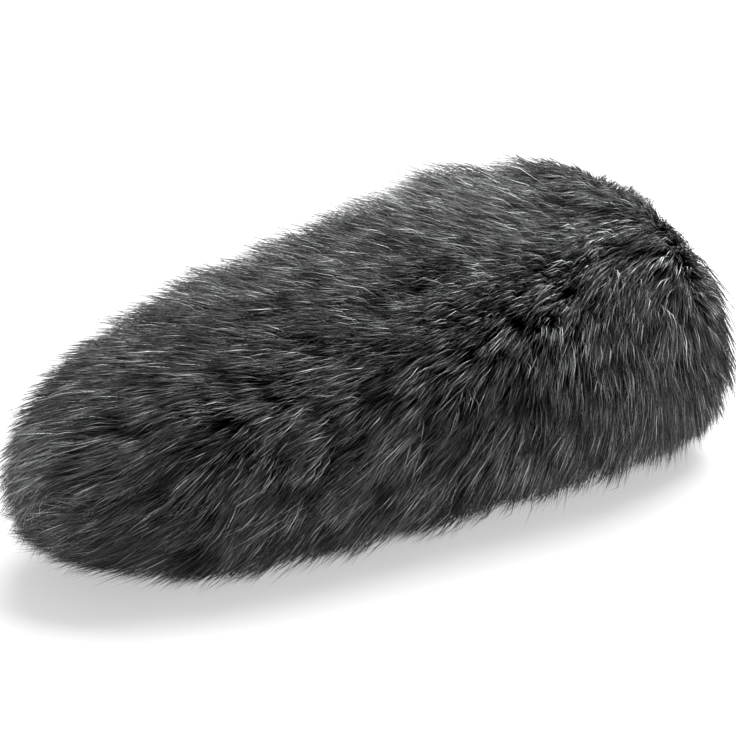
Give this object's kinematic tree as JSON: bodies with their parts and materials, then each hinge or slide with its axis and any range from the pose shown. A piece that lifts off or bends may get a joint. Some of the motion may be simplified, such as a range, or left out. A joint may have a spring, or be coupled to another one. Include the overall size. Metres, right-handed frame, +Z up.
{
  "type": "furry microphone windscreen",
  "caption": "Furry windscreen for a short shotgun microphone: a long-pile fur cover with an elastic mouth slips over a foam core with a microphone bore and rubber collar.",
  "frame": {"origin": "on the table, under the middle of the windscreen's length and width", "axes": "+X from the narrow nose to the wide rear where the microphone goes in, +Y to the left side seen from behind, +Z up"},
  "size_m": [0.2162, 0.1004, 0.0794],
  "materials": {
    "fur": "matte",
    "lining": "matte",
    "tape": "matte",
    "hem": "matte",
    "elastic": "matte",
    "label": "satin",
    "foam": "matte",
    "felt": "matte",
    "mesh_liner": "matte",
    "plate": "matte",
    "rubber": "satin"
  },
  "bodies": {
    "core": {"foam_body": "foam", "foam_nose_plug": "foam", "bore_end_stop": "felt", "bore_liner": "mesh_liner", "rear_plate": "plate", "entry_collar": "rubber"},
    "cover": {"fur_upper_panel": "fur", "fur_lower_panel": "fur", "fur_nose_cap": "fur", "fur_rear_panel": "fur", "lining_upper_panel": "lining", "lining_lower_panel": "lining", "lining_nose_cap": "lining", "seam_tape_left": "tape", "seam_tape_right": "tape", "seam_tape_nose": "tape", "seam_tape_rear": "tape", "hem_channel": "hem", "elastic_ring": "elastic", "woven_label": "label"}
  },
  "joints": [
    {"name": "cover_pull_off", "type": "slide", "parent": "core", "child": "cover", "axis": [-1, 0, 0], "range_m": [0, 0.2]}
  ]
}
